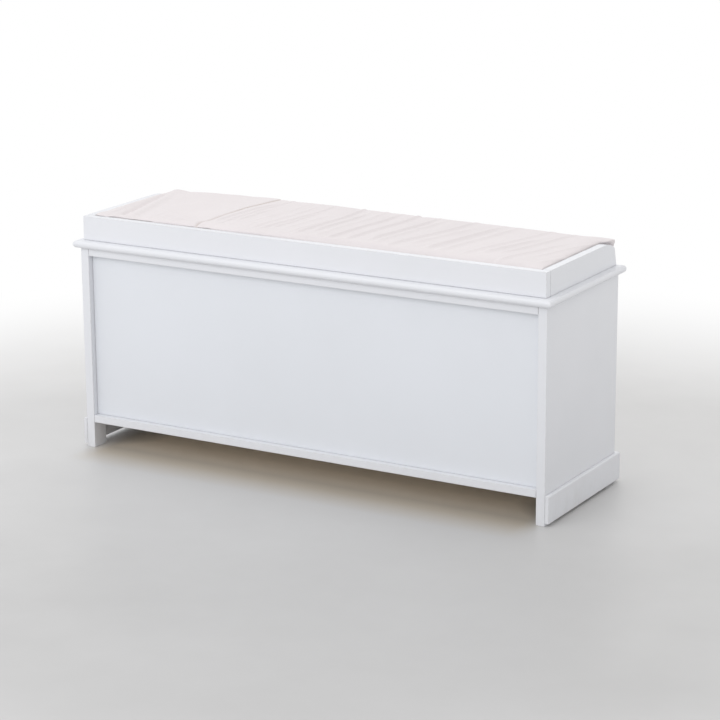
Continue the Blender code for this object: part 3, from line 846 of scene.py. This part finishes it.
def inflate(piece):
    """A short cloth simulation under slight pressure, in fabric a little larger than its pad."""
    rest = [vert.co.copy() for vert in piece.data.vertices]
    cloth = piece.modifiers.new("cloth", "CLOTH")
    settings = cloth.settings
    settings.quality = 4
    settings.use_pressure = True
    settings.uniform_pressure_force = 3.0
    settings.shrink_min = -0.018
    settings.tension_stiffness = 20.0
    settings.compression_stiffness = 20.0
    settings.shear_stiffness = 10.0
    settings.bending_stiffness = 0.25
    settings.effector_weights.gravity = 0.0
    cloth.collision_settings.use_collision = False
    cloth.point_cache.frame_start = 1
    cloth.point_cache.frame_end = SWELL_FRAMES
    scene = bpy.context.scene
    for number in range(1, SWELL_FRAMES + 1):
        scene.frame_set(number)
    settled = baked(piece, "cushion_cover")
    scene.frame_set(1)
    for vert, start in zip(settled.data.vertices, rest):
        step = vert.co - start
        if step.length > SWELL_CAP:
            step = step.normalized() * SWELL_CAP
        vert.co = start + step
    return settled


def squared(co, side, front, rear, top, strength):
    """A point of a rounded upper edge or corner, moved towards the sharp one."""
    reach = EDGE_ROUND
    lengthwise = math.copysign(1.0, co.x)
    crosswise = math.copysign(1.0, co.y)
    limit = rear if crosswise > 0 else front
    out = Vector((abs(co.x) - side + reach, abs(co.y) - limit + reach, co.z - top + reach))
    out = Vector([min(reach, max(0.0, part)) for part in out])
    if max(out) <= 0.0:
        return co
    factor = (out.length / max(out)) ** strength
    gain = Vector([min(reach, part * factor) - part for part in out])
    return co + Vector((gain.x * lengthwise, gain.y * crosswise, gain.z))


def fill_corner(co, side, corner):
    """Draws the left front corner out to its side, and up level with the rim's top."""
    outer = smoothstep(abs(co.x), side - 2.0 * EDGE_ROUND, side - 0.5 * EDGE_ROUND)
    co.x -= 0.75 * corner * outer * (side + co.x)
    upper_half = smoothstep(co.z, RIM_TOP - 7.0 * MM, RIM_TOP - 2.0 * MM)
    co.z += 0.9 * corner * outer * max(0.0, RIM_TOP + 0.4 * MM - co.z) * upper_half


def thin_over_rim(co, rim_face):
    """Presses the lip that lies over the back rim down onto it; its own top stays."""
    over_rim = smoothstep(co.y, rim_face + 0.5 * MM, rim_face + 3.0 * MM)
    if over_rim > 0.0:
        lip = smoothstep(co.z - RIM_TOP, 3.4 * MM, 1.4 * MM)
        co.z -= 0.95 * over_rim * lip * max(0.0, co.z - RIM_TOP - 0.3 * MM)


def hold_in_tray(piece, low, high):
    """Keeps the cover off the rim boards and the seat, and fills its edges out to them."""
    for vert in piece.data.vertices:
        co = vert.co
        corner = corner_share(co)
        side = high.x + CORNER_SPREAD * corner
        rear = high.y + BACK_SPREAD * back_share(co)
        strength = SQUARENESS + CORNER_SQUARENESS * corner
        co = squared(co, side, -low.y + PAD_FRONT_SPREAD, rear, COVER_EDGE, strength)
        if corner > 0.0:
            fill_corner(co, side, corner)
        co.x = max(-side, min(side, co.x))
        co.y = min(rear, co.y)
        thin_over_rim(co, high.y)
        co.z = max(low.z + SEAT_GAP, co.z)
        vert.co = co


def drawn_to(value, line):
    """Gathers points near a line onto it, so that a narrow groove has points of its own."""
    return value - (value - line) * 0.75 * bell(value - line, GATHER)


def sharpen_folds(piece, folds, top):
    """Adds the folds' narrow middles, which the simulated cloth's faces are too large for."""
    for vert in piece.data.vertices:
        upper = smoothstep(vert.co.z, top - TOP_REACH, top - 0.010)
        if upper > 0.0:
            vert.co.z += FOLD_NARROW * upper * fold_height(folds, vert.co.x, vert.co.y, 1.5)


def press_crease(piece, top):
    """Pulls the cover down along the crease and marks the crease's painted shade for its material."""
    crease_shade_shares = []
    for vert in piece.data.vertices:
        co = vert.co
        line = crease_line(co.y)
        upper = smoothstep(co.z, top - TOP_REACH, top - 0.012)
        if upper > 0.5:
            co.x = drawn_to(co.x, line)
        away = abs(co.x - line)
        groove = math.exp(-(away / CREASE_WIDTH) ** 1.5) * upper
        co.z -= CREASE_DEPTH * groove
        # Painted shade in the groove, stronger towards the front edge.
        crease_shade_shares.append(0.95 * groove ** 1.2 * (0.45 + 0.55 * smoothstep(-co.y, -0.06, 0.06)))
    painted_crease_shade = piece.data.attributes.new("crease", "FLOAT", "POINT")
    painted_crease_shade.data.foreach_set("value", crease_shade_shares)


SEAM_RISE = 7.5 * MM          # of the lower seam above the CAD cushion's underside
SEAM_DROP = 7.0 * MM          # of the upper one below the plain pad's top
SEAM_DEPTH = 1.3 * MM
SEAM_WIDTH = 1.5 * MM
PUCKER_PITCH = 10.0 * MM
PUCKER_DEPTH = 0.30 * MM
ZIP_HALF = 0.340              # half its length
ZIP_DEPTH = 2.8 * MM          # of the pressed-in channel that it lies in
ZIP_REACH = 8.5 * MM          # from its middle to about the edge of its tape
ZIP_EDGE = 2.0 * MM           # half the way over which the channel's side falls
TAPE_STEPS = 170
TAPE_SECTION = ((1.4, -0.3), (1.4, 0.5), (5.0, 0.55), (8.0, 0.5), (8.4, 0.2), (8.4, -0.3))
TOOTH_PITCH = 2.0 * MM
TOOTH_SIZE = Vector((1.25, 1.3, 2.6)) * MM
TOOTH_PROUD = 0.55 * MM
SLIDER_SETBACK = 0.016        # from the zip's end
STITCH_PITCH = 4.2 * MM
STITCH_LENGTH = 2.9 * MM
STITCH_ROW = 6.4 * MM         # from the zip's middle
STITCH_PROUD = 0.55 * MM
THREAD_RADIUS = 0.22 * MM


def press_seams(piece, levels):
    """Draws the side band in along its two seams, with small puckers where the thread pulls."""
    mesh = piece.data
    normals = [vert.normal.copy() for vert in mesh.vertices]
    for vert, normal in zip(mesh.vertices, normals):
        co = vert.co
        on_band = smoothstep(1.0 - abs(normal.z), 0.05, 0.35)
        if on_band == 0.0:
            continue
        along = co.x if abs(normal.y) > abs(normal.x) else co.y
        for level in levels:
            if abs(co.z - level) > 14.0 * MM:
                continue
            moved = drawn_to(co.z, level)
            groove = SEAM_DEPTH * bell(moved - level, SEAM_WIDTH)
            phase = along / PUCKER_PITCH + 0.7 * noise.noise(Vector((along * 30.0, level, 0.5)))
            pucker = PUCKER_DEPTH * math.sin(math.tau * phase) * bell(moved - level, 6.0 * MM)
            flat = Vector((normal.x, normal.y, 0.0)).normalized()
            co.z += on_band * (moved - co.z)
            co -= flat * on_band * (groove + pucker)


def press_zip_channel(piece, high, level):
    """Presses the rear band in where the zip lies, so that the zip stays inside the cushion's outline."""
    for vert in piece.data.vertices:
        co = vert.co
        rear = smoothstep(co.y, high.y - 8.0 * MM, high.y - 4.0 * MM)
        ends = 1.0 - smoothstep(abs(co.x), ZIP_HALF, ZIP_HALF + 0.012)
        across = 1.0 - smoothstep(abs(co.z - level), ZIP_REACH - ZIP_EDGE, ZIP_REACH + ZIP_EDGE)
        co.y -= ZIP_DEPTH * rear * ends * across


def thread_stitch(form, start, end, outward):
    """One stitch: a short arched thread whose ends go down into the cloth."""
    run = end - start
    sideways = run.normalized().cross(outward)
    round_thread = [math.cos(math.tau * side / 6) * sideways + math.sin(math.tau * side / 6) * outward
                    for side in range(6)]
    rings = []
    for step in range(5):
        t = step / 4
        centre = start + run * t + outward * THREAD_RADIUS * (2.2 * math.sin(math.pi * t) - 0.9)
        rings.append([form.verts.new(centre + THREAD_RADIUS * way) for way in round_thread])
    for lower, upper in zip(rings, rings[1:]):
        walls_between(form, lower, upper)
    form.faces.new(rings[0])
    form.faces.new(list(reversed(rings[-1])))


class BackBand:
    """Places on the cushion's rear band, found by looking at it from behind."""

    def __init__(self, piece, high):
        self.tree = BVHTree.FromObject(piece, bpy.context.evaluated_depsgraph_get())
        self.behind = high.y + 0.03

    def spot(self, x, z, proud=0.0):
        found, normal, _, _ = self.tree.ray_cast(Vector((x, self.behind, z)), Vector((0.0, -1.0, 0.0)))
        return Vector((x, found.y + proud, z))


def zip_tape(band, level):
    """Two strips of woven tape, one on each side of the teeth.

    TAPE_SECTION gives their outline in millimetres, out from the zip's middle and up from the cover.
    """
    form = bmesh.new()
    for side in (-1, 1):
        rows = []
        for step in range(TAPE_STEPS + 1):
            x = -ZIP_HALF + 2 * ZIP_HALF * step / TAPE_STEPS
            rows.append([form.verts.new(band.spot(x, level + side * out * MM, proud * MM))
                         for out, proud in TAPE_SECTION])
        for first, second in zip(rows, rows[1:]):
            walls_between(form, first, second)
        form.faces.new(rows[0])
        form.faces.new(rows[-1])
    finished_piece("cushion_zip_tape", form, woven_tape("ecru_zip_tape"), "cushion", 50.0)


def zip_coil(band, level):
    """Two rows of small interlocking teeth."""
    form = bmesh.new()
    for number in range(int(2 * ZIP_HALF / TOOTH_PITCH)):
        x = -ZIP_HALF + TOOTH_PITCH * (number + 0.5)
        side = 1 if number % 2 else -1
        centre = band.spot(x, level, TOOTH_PROUD) + Vector((0.0, 0.0, side * 0.5 * MM))
        rounded_block(form, centre, TOOTH_SIZE, 0.3 * MM, segments=1)
    finished_piece("cushion_zip_teeth", form, plastic("ecru_nylon", ECRU_NYLON, 0.42), "cushion",
                   50.0)


def zip_slider(band, level):
    """The slider near one end, the bridge on it, and its flat pull, which lies along the zip."""
    body = band.spot(ZIP_HALF - SLIDER_SETBACK, level, 0.9 * MM)
    bridge = body + Vector((-1.0, 1.0, 0.0)) * MM
    pull = body + Vector((-9.0, 1.05, 0.0)) * MM
    form = bmesh.new()
    rounded_block(form, body, Vector((8.5, 1.9, 6.6)) * MM, 0.7 * MM)
    rounded_block(form, bridge, Vector((4.6, 1.0, 1.8)) * MM, 0.4 * MM)
    rounded_block(form, pull, Vector((15.0, 0.8, 4.4)) * MM, 0.35 * MM)
    finished_piece("cushion_zip_slider", form, rolled_steel("zip_slider_steel"), "cushion")


def zip_stitches(band, level):
    """A row of stitches along each tape."""
    form = bmesh.new()
    outward = Vector((0.0, 1.0, 0.0))
    for side in (-1, 1):
        z = level + side * STITCH_ROW
        for number in range(int(2 * ZIP_HALF / STITCH_PITCH)):
            x = -ZIP_HALF + STITCH_PITCH * (number + 0.2)
            start = band.spot(x, z, STITCH_PROUD)
            end = band.spot(x + STITCH_LENGTH, z, STITCH_PROUD)
            thread_stitch(form, start, end, outward)
    finished_piece("cushion_zip_stitches", form, woven_tape("ecru_thread"), "cushion", 60.0)


def build_zip(piece, high, level):
    band = BackBand(piece, high)
    zip_tape(band, level)
    zip_coil(band, level)
    zip_slider(band, level)
    zip_stitches(band, level)


def build_cushion():
    low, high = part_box("cushion")
    pad_low = low + PAD_INSET
    pad_high = high - PAD_INSET
    pad_low.y = low.y - PAD_FRONT_SPREAD
    pad_high.z = RIM_TOP - PAD_TOP_DROP
    folds = cushion_folds(random.Random(11))
    piece = voxel_pad(pad_low, pad_high)
    for vert in piece.data.vertices:
        vert.co = shape_pad(vert.co, pad_low, pad_high, folds)
    piece = inflate(piece)
    hold_in_tray(piece, low, high)
    finer = piece.modifiers.new("finer", "SUBSURF")
    finer.levels = 1
    finer.render_levels = 1
    piece = baked(piece, "cushion_cover")
    top = max(vert.co.z for vert in piece.data.vertices)
    sharpen_folds(piece, folds, top)
    press_crease(piece, top)
    zip_level = (low.z + pad_high.z) / 2
    press_seams(piece, (low.z + SEAM_RISE, pad_high.z - SEAM_DROP))
    press_zip_channel(piece, high, zip_level)
    build_zip(piece, high, zip_level)
    piece.data.shade_smooth()
    piece.data.materials.clear()
    piece.data.materials.append(cotton("ecru_cotton_weave"))
    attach(piece, "cushion")
    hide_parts("cushion")


build_camera()
build_floor()
build_light()
finish_boards()
fit_drawers()
build_cushion()
